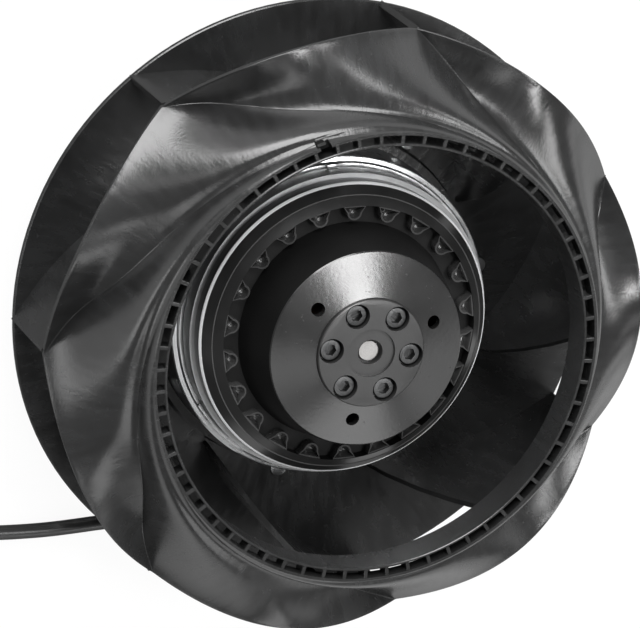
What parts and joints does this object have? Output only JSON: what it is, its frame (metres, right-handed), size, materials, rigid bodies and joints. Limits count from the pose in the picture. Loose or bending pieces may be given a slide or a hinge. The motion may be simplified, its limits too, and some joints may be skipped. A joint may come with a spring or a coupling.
{
  "type": "plug fan",
  "caption": "Backward-curved centrifugal plug fan: wavy-shrouded black plastic wheel on an external-rotor motor with a slotted inlet ring, rear flange and supply cable.",
  "frame": {"origin": "centre of the motor flange's rear face, on the axis of rotation", "axes": "+Z along the axis of rotation, from the mounting face towards the inlet"},
  "size_m": [0.2913, 0.2251, 0.092],
  "materials": {
    "black_plastic": "satin moulded",
    "black_coat": "satin black dip coat",
    "zinc_steel": "bright zinc plate",
    "lamination_steel": "turned laminations",
    "bearing_steel": "ground",
    "cast_aluminium": "die-cast",
    "dark_screw": "black oxide",
    "copper": "enamelled copper wire",
    "cage_brass": "pressed brass",
    "insulator": "moulded",
    "board": "solder mask",
    "core_sheath": "insulated cores",
    "black_sheath": "soft cable sheath",
    "black_rubber": "moulded rubber"
  },
  "bodies": {
    "motor_body": {"motor_flange": "cast_aluminium", "rear_cap": "zinc_steel", "stator_core": "lamination_steel", "stator_coils": "copper", "front_insulator": "insulator", "rear_insulator": "insulator", "front_bearing_outer": "bearing_steel", "rear_bearing_outer": "bearing_steel", "front_bearing_balls": "bearing_steel", "rear_bearing_balls": "bearing_steel", "ball_cages": "cage_brass", "bearing_shields": "zinc_steel", "preload_spring": "bearing_steel", "connection_board": "board", "board_screws": "zinc_steel", "thermal_protector": "insulator", "terminal_block": "insulator", "lead_wires": "core_sheath", "earth_screw": "cage_brass", "cable_gland": "black_rubber", "cable": "black_sheath", "cable_coil": "black_sheath", "cable_tie": "black_sheath", "cable_cores": "core_sheath"},
    "wheel_body": {"front_shroud": "black_plastic", "blade_disc": "black_plastic", "carrier_ring": "zinc_steel", "disc_rivets": "zinc_steel", "rotor_core": "lamination_steel", "rotor_cage": "cast_aluminium", "rotor_bell": "black_coat", "hub_disc": "black_coat", "hub_screws": "dark_screw", "shaft": "bearing_steel", "retaining_ring": "dark_screw", "front_spacer": "zinc_steel", "front_bearing_inner": "bearing_steel", "rear_bearing_inner": "bearing_steel"}
  },
  "joints": [
    {"name": "wheel_spin", "type": "hinge", "parent": "motor_body", "child": "wheel_body", "pos_m": [0, 0, 0.04], "axis": [0, 0, 1], "continuous": true}
  ]
}
